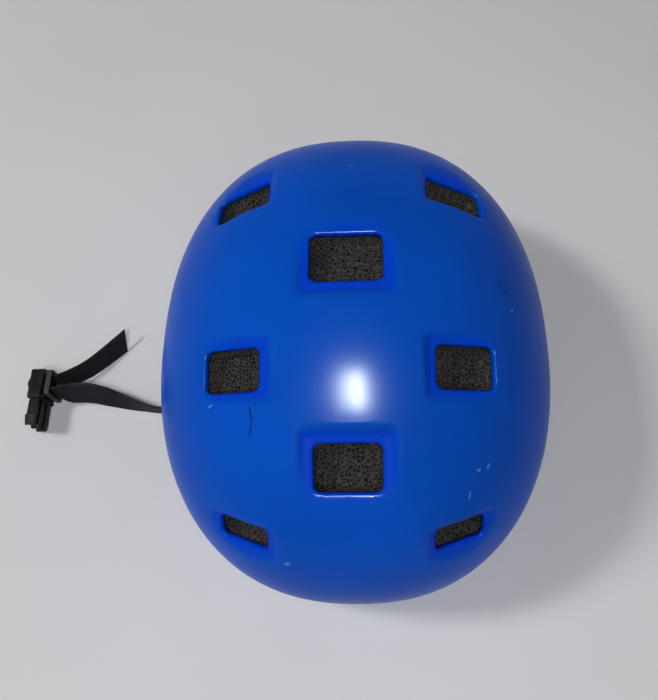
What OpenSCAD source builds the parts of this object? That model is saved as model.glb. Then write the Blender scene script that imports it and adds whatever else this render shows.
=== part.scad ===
// Child's hard-shell skate and cycle helmet: a moulded shell over a foam liner, with fit pads,
// a rear fit dial on two toothed bands, and webbing straps with a side-release buckle.
// Millimetres. It rests on its rim at z = 0, the front faces -Y, and X runs from left to right.

/* [Shell] */
// half of the shell's width
half_width = 107; // [88:0.5:130]
// half of the shell's length
half_length = 131.3; // [108:0.1:158]
// height of the crown above the rim
shell_height = 150; // [124:1:180]
// height at which the shell is widest
widest_z = 44.5; // [36:0.5:54]
// thickness of the moulded shell
shell_wall = 2.4; // [2:0.1:3]
// how far the rim rises over each ear
ear_arch = 18; // [15:0.5:22]
// how far the dished surround of each vent is sunk
dish_depth = 2.6; // [2:0.1:3.2]

/* [Liner and pads] */
// thickness of the foam liner
liner_wall = 17; // [15:0.5:20]
// depth of the blind vent pockets in the foam
pocket_depth = 7; // [5:0.5:10]
// thickness of the fit pads
pad_wall = 7; // [5:0.5:9]

/* [Straps and buckle] */
// webbing width
web_w = 15; // [14:0.5:15.5]
// webbing thickness
web_t = 1.5; // [1.2:0.1:1.8]
// radius of the rivet shanks
rivet_r = 2; // [1.6:0.1:2.4]

/* [Fit dial] */
// radius of the dial knob
knob_r = 15; // [12:0.5:16]
// thickness of the fit bands
band_t = 1.5; // [1.2:0.1:2]

/* [Hidden] */
// plan and profile curves of the shell
plan_n = 2.31;
rise_n = 2.09;
tuck = 0.032;
// clear gap between the shell and the liner
gap = 0.15;
// height of the trim under the shell and the liner
trim_h = 2;
arch_y = 5;
arch_half = 60;
arch_r = (arch_half * arch_half + ear_arch * ear_arch) / (2 * ear_arch);
liner_off = -(shell_wall + gap);
cavity_off = liner_off - liner_wall;
rivet_z = 30;
rivet_ys = [-36, 46];
// pinion, racks and the arc that the fit bands run on
rear_y = half_length - 34.8;
arc_r = half_width - 25;
arc_y = rear_y - arc_r;
pin_z = 19;
pin_r = 5;
pin_teeth = 10;
pitch = PI * 2 * pin_r / pin_teeth;
step_deg = pitch / arc_r * 180 / PI;
shaft_r = 2.5;
// male half of the buckle: it stands on its side edge beside the helmet
bk_x = -202.5;
bk_z = 10.4;
bk_w = 20.4;
bk_t = 8;
prong_x = 7.4;
prong_y = 9.1;
$fn = 64;

// Each vent: plan x and y of its centre, width, height, direction of the crown in its own
// tangent plane, then the dish's reach to -u, +u, -v and +v, its depth factor and its tilt.
// Those with x below 0 are mirrored to the other side.
vents = [
  [0, -82, 29.5, 21.2, 90, 22.5, 22.5, 20, 18.4, 1, 5],
  [0, 10, 33, 23.7, -90, 24, 24, 20, 20.5, 1, 4],
  [-52.6, -38.5, 28.3, 19.4, 0, 22, 21.8, 15.5, 15.5, 1, 5.2],
  [-53.8, 55.7, 30, 18.5, -45, 22, 20, 13.5, 22, 1, 5],
  [-50.2, -104.4, 25.3, 12, 75, 19, 19, 14, 10, 1, 6]
];

// ---- the dome that the shell, liner and pads share ----
function tucked(z) = z >= widest_z ? 1 : 1 - tuck * pow((widest_z - z) / widest_z, 2);
function plan_reach(c, s, off) =
  1 / pow(pow(abs(c) / (half_width + off), plan_n) + pow(abs(s) / (half_length + off), plan_n),
    1 / plan_n);
function ring_pts(k, z, off, n) = [for (i = [0 : n - 1])
  let (a = 360 * i / n, r = k * plan_reach(cos(a), sin(a), off)) [r * cos(a), r * sin(a), z]];
function rise(a) = [pow(cos(a), 2 / rise_n), pow(sin(a), 2 / rise_n)];

module dome(off, n = 56, m = 11, zb = -6) {
  top = shell_height + off;
  walls = [zb, 10, 27];
  pts = [for (z = walls) each ring_pts(tucked(z), z, off, n),
    for (j = [0 : m - 1]) let (q = rise(90 * j / m))
      each ring_pts(q[0], widest_z + (top - widest_z) * q[1], off, n),
    [0, 0, top]];
  rows = len(walls) + m;
  faces = [[for (i = [0 : n - 1]) i],
    for (j = [0 : rows - 2], i = [0 : n - 1]) let (k = (i + 1) % n)
      each [[j * n + i, (j + 1) * n + i, (j + 1) * n + k], [j * n + i, (j + 1) * n + k, j * n + k]],
    for (i = [0 : n - 1]) [(rows - 1) * n + i, rows * n, (rows - 1) * n + (i + 1) % n]];
  polyhedron(points = pts, faces = faces);
}

// height of the outer surface over a plan point, and its unit normal
function dome_z(x, y) =
  let (q = pow(abs(x) / half_width, plan_n) + pow(abs(y) / half_length, plan_n),
    r = pow(q, rise_n / plan_n))
  widest_z + (shell_height - widest_z) * pow(max(0, 1 - r), 1 / rise_n);
function unit(v) = v / norm(v);
function dome_normal(x, y) =
  unit([dome_z(x - 0.2, y) - dome_z(x + 0.2, y), dome_z(x, y - 0.2) - dome_z(x, y + 0.2), 0.4]);
// plan scale, so that the vents keep their places when the shell's size changes
function px(v) = v[0] * half_width / 107;
function py(v) = v[1] * half_length / 131.3;

module on_dome(v) {
  x = px(v);
  y = py(v);
  n = dome_normal(x, y);
  u = unit([1, 0, 0] - n[0] * n);
  w = cross(n, u);
  multmatrix([[u[0], w[0], n[0], x], [u[1], w[1], n[1], y], [u[2], w[2], n[2], dome_z(x, y)],
    [0, 0, 0, 1]]) children();
}
module tilted(v, drop) {
  translate([0, 0, -dish_depth * v[9]])
    rotate(a = v[10], v = [-sin(v[4]), cos(v[4]), 0]) translate([0, 0, -drop]) children();
}
module rounded_slab(x0, x1, y0, y1, r, h) {
  linear_extrude(height = h)
    translate([x0 + r, y0 + r]) offset(r = r, $fn = 20) square([x1 - x0 - 2 * r, y1 - y0 - 2 * r]);
}
module dish(v, grow) {
  on_dome(v) tilted(v, grow)
    rounded_slab(-v[5] - grow, v[6] + grow, -v[7] - grow, v[8] + grow, 4 + grow, 16);
}
module vent_hole(v, grow, from, to) {
  on_dome(v) tilted(v, 0) translate([0, 0, from])
    rounded_slab(-v[2] / 2 - grow, v[2] / 2 + grow, -v[3] / 2 - grow, v[3] / 2 + grow, 3.2, to - from);
}
module each_vent() {
  for (i = [0 : len(vents) - 1]) {
    $v = vents[i];
    children();
    if (vents[i][0] < 0) mirror([1, 0, 0]) children();
  }
}

// everything below the rim line, raised by dz
module below_rim(dz) {
  translate([-200, -200, -40]) cube([400, 400, 40 + dz]);
  translate([-200, arch_y, dz + ear_arch - arch_r]) rotate([0, 90, 0])
    cylinder(r = arch_r, h = 400, $fn = 96);
}

// a point of the side wall at plan y and height z, at an offset from the outer face
function side_pt(y, z, off) =
  [tucked(z) * (half_width + off) * pow(1 - pow(abs(y) / (half_length + off), plan_n), 1 / plan_n), y, z];
function side_angle(y) =
  atan2(pow(abs(y) / half_length, plan_n - 1) / half_length * sign(y),
    pow(side_pt(y, rivet_z, 0)[0] / half_width, plan_n - 1) / half_width);

// a flat strip along points; each turn is the direction of its width, as a vector
module ribbon(pts, dirs, w, t) {
  n = len(pts);
  rings = [for (i = [0 : n - 1])
    let (a = pts[max(0, i - 1)], b = pts[min(n - 1, i + 1)], f = unit(b - a),
      d = unit(dirs[i] - (dirs[i] * f) * f), s = cross(f, d))
    each [pts[i] - d * w / 2 - s * t / 2, pts[i] + d * w / 2 - s * t / 2,
      pts[i] + d * w / 2 + s * t / 2, pts[i] - d * w / 2 + s * t / 2]];
  faces = [[1, 2, 3], [0, 1, 3], [4 * n - 2, 4 * n - 3, 4 * n - 4], [4 * n - 1, 4 * n - 2, 4 * n - 4],
    for (i = [0 : n - 2], k = [0 : 3]) let (p = 4 * i + k, q = 4 * i + (k + 1) % 4)
      each [[q + 4, q, p], [p + 4, q + 4, p]]];
  polyhedron(points = rings, faces = faces);
}
function flat(a) = [cos(a), sin(a), 0];
function lean(a) = [0, sin(a), cos(a)];

// where the strap lies between the shell and the liner, on the right-hand side
web_off = -(shell_wall + 0.65 + web_t / 2);
function wall_route(y) = [for (z = [41, 34, 27, 20, 13]) side_pt(y, z, web_off - (z < 20 ? 0.7 : 0))];
module strap_channel(y) {
  a = side_angle(y);
  pts = [for (z = [46, 34, 27, 20, 13, 6, -2]) side_pt(y, z, -(shell_wall - 0.5 + 2.9))];
  ribbon(pts, [for (p = pts) flat(a + 90)], web_w + 2, 5.8);
}
module at_rivet(y) {
  translate(side_pt(y, rivet_z, 0)) rotate([0, 0, side_angle(y)]) rotate([0, 90, 0]) children();
}
module each_side() {
  children();
  mirror([1, 0, 0]) children();
}

// ---- shell, liner, trim ----
module outer_shell() {
  color("RoyalBlue") difference() {
    resize([0, 0, 0]) difference() {
      dome(0);
      each_vent() dish($v, 0);
      difference() {
        dome(-shell_wall, zb = -8);
        each_vent() dish($v, shell_wall);
      }
      each_vent() vent_hole($v, 0, -20, 14);
      below_rim(trim_h);
    }
    each_side() for (y = rivet_ys) at_rivet(y)
      translate([0, 0, -8]) cylinder(r = rivet_r + 0.05, h = 12);
  }
}

module foam_liner() {
  color("DimGray") resize([0, 0, 0]) difference() {
    dome(liner_off);
    each_vent() dish($v, shell_wall + gap);
    dome(cavity_off, n = 48, m = 9, zb = -8);
    each_vent() vent_hole($v, 0.8, -shell_wall - gap - pocket_depth, 14);
    below_rim(trim_h);
    each_side() for (y = rivet_ys) strap_channel(y);
    // room behind the dial knob, and the hole for the hanger's pin
    translate([-knob_r - 2, rear_y - 6.5, -1]) cube([2 * knob_r + 4, 24.5, 39]);
    translate([0, rear_y + 3.5, 56]) rotate([-90, 0, 0]) cylinder(r = 2.15, h = 19.3, $fn = 24);
  }
}

module rim_trim() {
  color("Black") resize([0, 0, 0]) difference() {
    intersection() {
      dome(0.7);
      below_rim(trim_h - 0.1);
    }
    dome(-shell_wall + 0.1, zb = -8);
    below_rim(0);
  }
}

// ---- pads ----
module pad_shell(off, t) {
  resize([0, 0, 0]) intersection() {
    difference() {
      dome(off, n = 48, m = 9);
      dome(off - t, n = 48, m = 9, zb = -8);
    }
    children();
  }
}
pad_off = cavity_off - 1.4;
module brow_pad() {
  color("DimGray") pad_shell(pad_off, pad_wall)
    translate([-46, -140, 16]) cube([92, 90, 26]);
}
module crown_pad() {
  color("DimGray") pad_shell(pad_off, pad_wall)
    translate([0, 0, 60]) linear_extrude(height = 100) offset(r = 8, $fn = 24) square([34, 62], center = true);
}
module right_side_pad() {
  color("DimGray") pad_shell(pad_off, pad_wall)
    translate([45, -34, 48]) cube([60, 72, 30]);
}
module left_side_pad() { mirror([1, 0, 0]) right_side_pad(); }
module nape_pad() {
  color("DimGray") translate([0, arc_y, 9]) rotate_extrude(angle = 34, start = 73)
    translate([arc_r - 9, 0]) square([5.2, 20]);
}
module hook_patches() {
  color("Gainsboro") pad_shell(cavity_off - 0.15, 1.1) union() {
    for (x = [-28, 28]) translate([x, -60, 29]) rotate([90, 0, 0]) cylinder(r = 8, h = 70, $fn = 24);
    for (y = [-18, 18]) translate([0, y, 70]) cylinder(r = 9, h = 90, $fn = 24);
    for (s = [-1, 1], y = [-14, 18])
      translate([s * 50, y, 63]) rotate([0, s * 90, 0]) cylinder(r = 8, h = 60, $fn = 24);
  }
}

// ---- rivets ----
module strap_rivets() {
  color("Silver") each_side() for (y = rivet_ys) at_rivet(y) {
    translate([0, 0, 0.1]) cylinder(r1 = 5, r2 = 3.4, h = 1.3);
    translate([0, 0, -7.4]) cylinder(r = rivet_r, h = 7.6);
    translate([0, 0, -7.4]) cylinder(r = rivet_r + 1, h = 0.8);
  }
}
module rivet_washers() {
  color("Silver") each_side() for (y = rivet_ys) at_rivet(y)
    translate([0, 0, -6.5]) difference() {
      cylinder(r = 5.5, h = 1);
      translate([0, 0, -1]) cylinder(r = rivet_r + 0.05, h = 3);
    }
}

// ---- straps: right-hand routes, mirrored for the left ----
front_route = concat(wall_route(rivet_ys[0]), [[half_width - 8.7, -34.8, 7.5], [half_width - 12.5, -33, 3.4], [half_width - 18, -30, 1.6],
  [81, -24.5, 1.1], [73, -17.5, 1.1], [66, -10.5, 1.8], [60.5, -5.5, 2.2]]);
front_turns = concat([for (i = [0 : 4]) flat(side_angle(rivet_ys[0]) + 90)], [flat(78), flat(70),
  flat(58), flat(52), flat(46), flat(46), flat(46)]);
rear_route = concat(wall_route(rivet_ys[1]), [[half_width - 10.9, 44, 7.5], [half_width - 14.5, 41.5, 3.4], [half_width - 20, 37, 1.6],
  [80, 30, 1.1], [73, 22, 1.1], [66, 13, 1.8], [60.5, 7.5, 2.2]]);
rear_turns = concat([for (i = [0 : 4]) flat(side_angle(rivet_ys[1]) + 90)], [flat(104), flat(114),
  flat(126), flat(132), flat(134), flat(134), flat(134)]);
module front_strap() {
  difference() {
    ribbon(front_route, front_turns, web_w, web_t);
    at_rivet(rivet_ys[0]) translate([0, 0, -8]) cylinder(r = rivet_r + 0.1, h = 8);
  }
}
module rear_strap() {
  difference() {
    ribbon(rear_route, rear_turns, web_w, web_t);
    at_rivet(rivet_ys[1]) translate([0, 0, -8]) cylinder(r = rivet_r + 0.1, h = 8);
  }
}
module right_front_strap() { color("Black") front_strap(); }
module left_front_strap() { color("Black") mirror([1, 0, 0]) front_strap(); }
module right_rear_strap() { color("Black") rear_strap(); }
module left_rear_strap() { color("Black") mirror([1, 0, 0]) rear_strap(); }

// the divider that gathers the two side straps into the chin strap
module divider() {
  difference() {
    translate([44, -12.5, 0.2]) rounded_slab(0, 19, 0, 26, 3, 7.4);
    // lower mouths for the front and rear straps, and the upper one for the chin strap
    translate([58, -3, 2.2]) rotate([0, 0, -44]) translate([-3, -8.2, -1.1]) cube([20, 16.4, 2.2]);
    translate([58, 5, 2.2]) rotate([0, 0, 44]) translate([-3, -8.2, -1.1]) cube([20, 16.4, 2.2]);
    translate([40, -8, 4.3]) cube([30, 16, 2.2]);
  }
}
module right_strap_divider() { color("Black") divider(); }
module left_strap_divider() { color("Black") mirror([1, 0, 0]) divider(); }

left_route = [[-52, 0, 5.4], [-64, 0, 5.4], [-76, -4, 5.8], [-88, -8.5, 6.6], [-100, -13, 7.4],
  [-112, -15.6, 8], [-124, -16, 8], [-136, -13.5, 7.6], [-148, -10, 7.2], [-160, -6.5, 7.4],
  [-172, -4, 8], [-183, -4.2, 9], [-191, -4.5, 10.4], [-198, -4.5, 10.4], [-203, -4.5, 10.4],
  [-206.6, -4.1, 10.4], [-208.4, -2.2, 10.4], [-208.8, 0, 10.4], [-208.4, 2.2, 10.4],
  [-206.6, 4.1, 10.4], [-203, 4.5, 10.4], [-198, 4.5, 10.4], [-191, 4.7, 10.4], [-183, 7.5, 9.4],
  [-175, 12.5, 8.4], [-168, 19, 7.2], [-160.5, 26.5, 6.4], [-153.5, 33.5, 6]];
left_turns = [lean(90), lean(90), lean(98), lean(118), lean(140), lean(153), lean(160), lean(178),
  lean(203), lean(219), lean(222), lean(220), lean(192), lean(180), lean(180), lean(180), lean(180),
  lean(180), lean(180), lean(180), lean(180), lean(180), lean(190), lean(214), lean(216), lean(222),
  lean(225), lean(226)];
module left_chin_strap() { color("Black") ribbon(left_route, left_turns, web_w, web_t); }

right_route = [[52, 0, 5.4], [44, 0, 5.4], [36, -0.6, 3.6], [29, -1.4, 3.6], [22, -2, 5.2], [16.5, -2, 5.2]];
module right_chin_strap() {
  color("Black") ribbon(right_route, [for (p = right_route) [0, 1, 0]], web_w, web_t);
}

module strap_keeper() {
  color("DarkGray") translate([-196.6, 0, bk_z]) rotate([0, 90, 0]) difference() {
    rounded_slab(-bk_w / 2 + 0.3, bk_w / 2 - 0.3, -8.4, 8.4, 2, 3.2);
    translate([0, 0, -1]) rounded_slab(-8.2, 8.2, -6.7, 6.7, 1, 6);
  }
}

// ---- side-release buckle ----
// The male half lies with its prongs towards -Y and its width along Z.
module male_half() {
  translate([bk_x, 0, bk_z]) rotate([0, 90, 0]) translate([0, 0, -bk_t / 2]) children();
}
module buckle_male_frame() {
  color("Black") male_half() difference() {
    union() {
      rounded_slab(-bk_w / 2, bk_w / 2, -prong_y - 1.8, 9, 2, bk_t);
      // centre guide with a rounded nose
      translate([-2.2, -26, 1.6]) cube([4.4, 17, bk_t - 3.2]);
      translate([0, -26, 1.6]) cylinder(r = 2.2, h = bk_t - 3.2);
    }
    for (s = [-1, 1]) translate([0, s * 4.4, -1]) rounded_slab(-8, 8, -1.9, 1.9, 0.8, bk_t + 2);
    // sockets that the prong roots turn in
    for (s = [-1, 1]) translate([s * prong_x, -prong_y, -1]) cylinder(r = 1.45, h = bk_t + 2);
    for (s = [-1, 1]) translate([s * prong_x - 1.25, -prong_y - 4, -1]) cube([2.5, 4, bk_t + 2]);
  }
}
module prong() {
  male_half() translate([prong_x, -prong_y, 1]) {
    union() {
      cylinder(r = 1.4, h = bk_t - 2);
      translate([-0.95, -17, 0]) cube([1.9, 17, bk_t - 2]);
      // hooked tip
      translate([0, 0, 0]) linear_extrude(height = bk_t - 2)
        polygon([[-0.95, -18.5], [0.6, -19], [2.7, -12.6], [0.9, -11.8], [-0.95, -11.8]]);
    }
  }
}
// on its side edge the buckle's +X local side is the lower one
module buckle_lower_prong() { color("Black") prong(); }
module buckle_upper_prong() {
  color("Black") translate([0, 0, 2 * bk_z]) mirror([0, 0, 1]) prong();
}
module buckle_female() {
  color("Black") difference() {
    translate([-12, -14, 0.4]) rounded_slab(0, 32, 0, 24, 3, 9.6);
    // mouth for the prongs, side windows and the webbing slot
    translate([-14, -11.6, 1.9]) cube([21, 19.2, 6.6]);
    for (y = [-16, 7]) translate([-4, y, 3.2]) cube([9, 5, 4]);
    translate([15, -10.2, 4.1]) cube([8, 16.4, 2.2]);
  }
}

// ---- rear fit dial ----
function involute(rb, t) = [rb * (cos(t) + t * PI / 180 * sin(t)), rb * (sin(t) - t * PI / 180 * cos(t))];
module pinion_2d() {
  rb = pin_r * cos(20);
  ra = pin_r + 0.82;
  rf = pin_r - 1.15;
  // half of a tooth's angle at the base circle, with a little backlash
  half = 90 / pin_teeth + (tan(20) - 20 * PI / 180) * 180 / PI - 1.6;
  tmax = sqrt(pow(ra / rb, 2) - 1) * 180 / PI;
  side = [for (k = [0 : 5]) involute(rb, tmax * k / 5)];
  union() {
    circle(r = rf, $fn = 40);
    for (i = [0 : pin_teeth - 1]) rotate(i * 360 / pin_teeth) polygon(concat([[0, 0]],
      [for (p = side) [p[0] * cos(half) + p[1] * sin(half), -p[0] * sin(half) + p[1] * cos(half)]],
      [for (k = [5 : -1 : 0]) let (p = side[k])
        [p[0] * cos(half) + p[1] * sin(half), p[0] * sin(half) - p[1] * cos(half)]]));
  }
}
module dial_pinion() {
  color("Silver") translate([0, arc_y + arc_r + 1.6, pin_z]) rotate([90, 0, 0]) difference() {
    linear_extrude(height = 3.2) pinion_2d();
    translate([0, 0, -1]) cylinder(r = shaft_r + 0.02, h = 6);
  }
}
module band_arc(a0, a1, z0, z1) {
  translate([0, arc_y, z0]) rotate_extrude(angle = a1 - a0, start = a0)
    translate([arc_r - band_t / 2, 0]) square([band_t, z1 - z0]);
}
// rack teeth that stand on the band's edge at z, pointing to +z or -z
module rack(a0, a1, z, up) {
  for (i = [ceil((a0 - 90) / step_deg) : floor((a1 - 90) / step_deg)])
    translate([0, arc_y, z]) rotate([0, 0, 90 + i * step_deg]) rotate([90, 0, 90])
      translate([0, 0, arc_r - band_t / 2]) linear_extrude(height = band_t)
        polygon([[-1.02, -0.3 * up], [1.02, -0.3 * up], [1.02, 0], [0.38, 1.72 * up], [-0.38, 1.72 * up],
          [-1.02, 0]]);
}
module left_fit_band() {
  color("Black") union() {
    band_arc(70, 112, pin_z + 6.1, pin_z + 11);
    band_arc(107.5, 112, pin_z - 3.8, pin_z + 11);
    band_arc(107.5, 198, pin_z - 3.8, pin_z + 3.8);
    rack(73, 107, pin_z + 6.1, -1);
  }
}
module right_fit_band() {
  color("Black") union() {
    band_arc(68, 110, pin_z - 11, pin_z - 6.1);
    band_arc(68, 72.5, pin_z - 11, pin_z + 3.8);
    band_arc(-18, 72.5, pin_z - 3.8, pin_z + 3.8);
    rack(73, 107, pin_z - 6.1, 1);
  }
}
module ring_sector(r0, r1, a0, a1, z0, z1) {
  translate([0, arc_y, z0]) rotate_extrude(angle = a1 - a0, start = a0)
    translate([r0, 0]) square([r1 - r0, z1 - z0]);
}
boss_y = arc_y + arc_r + 4.6;
module dial_housing() {
  color("DimGray") difference() {
    union() {
      ring_sector(arc_r - 3.5, arc_r + 3.5, 68, 112, pin_z - 13, pin_z + 13);
      translate([0, boss_y - 6, pin_z]) rotate([-90, 0, 0]) cylinder(r = 13, h = 6);
    }
    ring_sector(arc_r - 1.9, arc_r + 1.9, 60, 120, pin_z - 11.6, pin_z + 11.6);
    translate([0, rear_y - 4.5, pin_z]) rotate([-90, 0, 0]) cylinder(r = shaft_r + 0.06, h = 12);
  }
}
module ratchet_ring() {
  color("Silver") translate([0, boss_y + 0.1, pin_z]) rotate([-90, 0, 0]) difference() {
    cylinder(r = 12.4, h = 2.4);
    translate([0, 0, -1]) cylinder(r = 9.6, h = 5);
    for (i = [0 : 17]) rotate(i * 20) translate([9.6, 0, -1]) cylinder(r = 0.9, h = 5, $fn = 24);
  }
}
module dial_knob() {
  color("Black") translate([0, boss_y, pin_z]) rotate([-90, 0, 0]) difference() {
    union() {
      translate([0, 0, -7.7]) cylinder(r = shaft_r, h = 10.5);
      translate([0, 0, 0.3]) cylinder(r = 7, h = 3);
      // two spring fingers that click over the ratchet ring
      for (i = [0, 1]) rotate(180 * i) translate([5, -1, 0.3]) cube([4.3, 2, 2]);
      translate([0, 0, 2.8]) cylinder(r = knob_r, h = 6.4);
    }
    for (i = [0 : 17]) rotate(i * 20) translate([knob_r + 1, 0, 2]) cylinder(r = 1.9, h = 10, $fn = 24);
    translate([0, 0, 8.2]) cylinder(r = knob_r - 4, h = 3);
  }
}
module band_clips() {
  color("Black") each_side() difference() {
    ring_sector(arc_r - 2.2, arc_r + 5.2, 188, 195, pin_z - 6.6, pin_z + 6.6);
    ring_sector(arc_r - 1.1, arc_r + 1.1, 180, 200, pin_z - 4.2, pin_z + 4.2);
  }
}
module cradle_hanger() {
  pts = [for (p = [[-2, 33], [1.1, 35], [5.5, 40], [9.5, 47], [11.1, 52], [11.4, 62]]) [0, rear_y + p[0], p[1]]];
  color("Black") difference() {
    ribbon(pts, [for (p = pts) [1, 0, 0]], 14, 1.5);
    translate([0, rear_y + 1.5, 56]) rotate([-90, 0, 0]) cylinder(r = 2.1, h = 19);
  }
}
module hanger_pin() {
  color("Black") translate([0, rear_y + 8.6, 56]) rotate([-90, 0, 0]) {
    cylinder(r = 4.5, h = 1.5);
    cylinder(r = 2, h = 13);
  }
}

outer_shell();
foam_liner();
rim_trim();
brow_pad();
crown_pad();
left_side_pad();
right_side_pad();
nape_pad();
hook_patches();
strap_rivets();
rivet_washers();
left_front_strap();
left_rear_strap();
right_front_strap();
right_rear_strap();
left_strap_divider();
right_strap_divider();
left_chin_strap();
right_chin_strap();
strap_keeper();
buckle_male_frame();
buckle_upper_prong();
buckle_lower_prong();
buckle_female();
dial_housing();
ratchet_ring();
dial_knob();
dial_pinion();
left_fit_band();
right_fit_band();
band_clips();
cradle_hanger();
hanger_pin();
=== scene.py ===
# %% [markdown]
# # A child's hard-shell helmet, standing on its rim
# The CAD model gives every size and every moving part. This notebook gives the looks: a moulded
# blue shell, bead foam in its vents, webbing straps with a side-release buckle, and fit pads.
# Lengths are worked out in millimetres, as in the CAD, and turned into metres when a mesh is made.

# %% The frame
import math
from collections import namedtuple

import bpy
import numpy as np
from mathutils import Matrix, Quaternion, Vector


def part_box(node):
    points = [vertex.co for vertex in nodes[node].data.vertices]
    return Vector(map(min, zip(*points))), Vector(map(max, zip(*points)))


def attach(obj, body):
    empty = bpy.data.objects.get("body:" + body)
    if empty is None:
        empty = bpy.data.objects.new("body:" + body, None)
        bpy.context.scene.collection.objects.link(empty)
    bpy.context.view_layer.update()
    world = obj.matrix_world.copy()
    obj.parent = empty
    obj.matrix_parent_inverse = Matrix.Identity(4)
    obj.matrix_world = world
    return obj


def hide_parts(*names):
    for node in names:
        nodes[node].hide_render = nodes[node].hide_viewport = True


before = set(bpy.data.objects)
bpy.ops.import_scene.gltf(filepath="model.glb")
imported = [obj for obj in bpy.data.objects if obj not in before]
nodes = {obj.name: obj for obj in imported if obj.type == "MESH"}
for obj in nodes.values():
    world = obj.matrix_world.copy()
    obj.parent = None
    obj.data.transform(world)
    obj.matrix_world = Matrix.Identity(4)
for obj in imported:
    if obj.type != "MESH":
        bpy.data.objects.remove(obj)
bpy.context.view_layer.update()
MM = 0.001

# %% [markdown]
# ## The view
# The camera looks down on the crown from just in front of the brow, 67 degrees above the table, and
# rolls a little, as a hand-held one does. The focal length is for a frame 36 mm on its longer side.

# %% Camera
CAMERA_AT = Vector((10.8, -141.5, 401.6)) * MM
LOOKS_AT = Vector((-17.5, 26.6, 0.0)) * MM
ROLL = math.radians(-9.8)
FRAME_MM, FOCAL_MM = 36.0, 33.94
lens = bpy.data.cameras.new("view")
lens.sensor_width, lens.lens = FRAME_MM, FOCAL_MM
camera = bpy.data.objects.new("view", lens)
camera.rotation_mode = "QUATERNION"
camera.location = CAMERA_AT
camera.rotation_quaternion = (LOOKS_AT - CAMERA_AT).to_track_quat("-Z", "Y") @ Quaternion((0, 0, 1), ROLL)
bpy.context.collection.objects.link(camera)
bpy.context.scene.camera = camera
print("camera", tuple(round(x, 4) for x in camera.location))

# %% [markdown]
# ## The dome
# A helmet shell is one smooth dome, and everything in it is that dome moved inwards. Its plan and its
# upright profile are both superellipses, which are ellipses with fuller corners. Below its widest
# height the wall tucks in a little.

# %% Dome formulas
HALF_W, HALF_L = (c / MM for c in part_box("outer_shell")[1][:2])
HEIGHT, WIDEST = 150.0, 44.5  # of the crown, and of the widest line
PLAN_N, RISE_N, TUCK = 2.31, 2.09, 0.032  # how full the plan and the profile are, how far the skirt tucks in
WALL, DISH = 2.4, 2.6  # thickness of the shell, depth of a dish
TRIM_H = 2.0  # the shell's edge stands this far above the rim line
EAR, ARCH_Y, ARCH_HALF = 18.0, 5.0, 60.0  # rise, middle and half-length of the arch over an ear
ARCH_R = (ARCH_HALF**2 + EAR**2) / (2 * EAR)
FILM = 0.15  # between the shell and the liner
LINER_WALL, POCKET, PAD = 17.0, 7.0, 7.0  # the liner's thickness, a vent pocket's depth, a pad's thickness
LINER_OFF = -(WALL + FILM)
CAVITY_OFF = LINER_OFF - LINER_WALL


def tucked(z):
    """The share of its widest plan that the skirt keeps at height z."""
    return 1 - TUCK * np.clip((WIDEST - z) / WIDEST, 0, None) ** 2


def reach(c, s, off):
    """How far the widest plan, moved out by off, reaches in the direction (c, s)."""
    return 1 / ((abs(c) / (HALF_W + off)) ** PLAN_N + (abs(s) / (HALF_L + off)) ** PLAN_N) ** (1 / PLAN_N)


def ring_share(z, off):
    """How wide the dome is at height z, as a share of its widest plan."""
    up = np.clip((z - WIDEST) / (HEIGHT + off - WIDEST), 0, 1)
    return tucked(z) * (1 - up**RISE_N) ** (1 / RISE_N)


def dome_z(x, y, off=0.0):
    """Height of the dome, moved out by off, over the point (x, y)."""
    plan = (abs(x) / (HALF_W + off)) ** PLAN_N + (abs(y) / (HALF_L + off)) ** PLAN_N
    up = np.clip(1 - plan ** (RISE_N / PLAN_N), 0, 1) ** (1 / RISE_N)
    return WIDEST + (HEIGHT + off - WIDEST) * up


def rim_z(y):
    """Height of the rim line: flat, with a round arch over each ear."""
    inside = np.clip(ARCH_R**2 - (y - ARCH_Y) ** 2, 0, None)
    return np.maximum(0.0, EAR - ARCH_R + np.sqrt(inside))


print(f"dome {2 * HALF_W:.0f} x {2 * HALF_L:.0f} x {HEIGHT:.0f} mm")

# %% [markdown]
# ## A grid over the dome
# A polar grid crowds its points at the crown. Squares of points laid one round the other keep the
# cells about the same size everywhere: ring number k has 8k points. Below the widest height the last
# ring is repeated down to the rim, which makes the skirt.

# %% Grid of points and faces
MIDDLE = (0, 0, 30.0)  # a point well inside the helmet


def grid_faces(number):
    """Four-sided faces between the point numbers of a grid."""
    return np.stack([number[:-1, :-1], number[1:, :-1], number[1:, 1:], number[:-1, 1:]], -1).reshape(-1, 4)


def border(number):
    """The point numbers round the outside of a grid, in order."""
    return np.concatenate([number[:-1, 0], number[-1, :-1], number[:0:-1, -1], number[0, :0:-1]])


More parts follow.
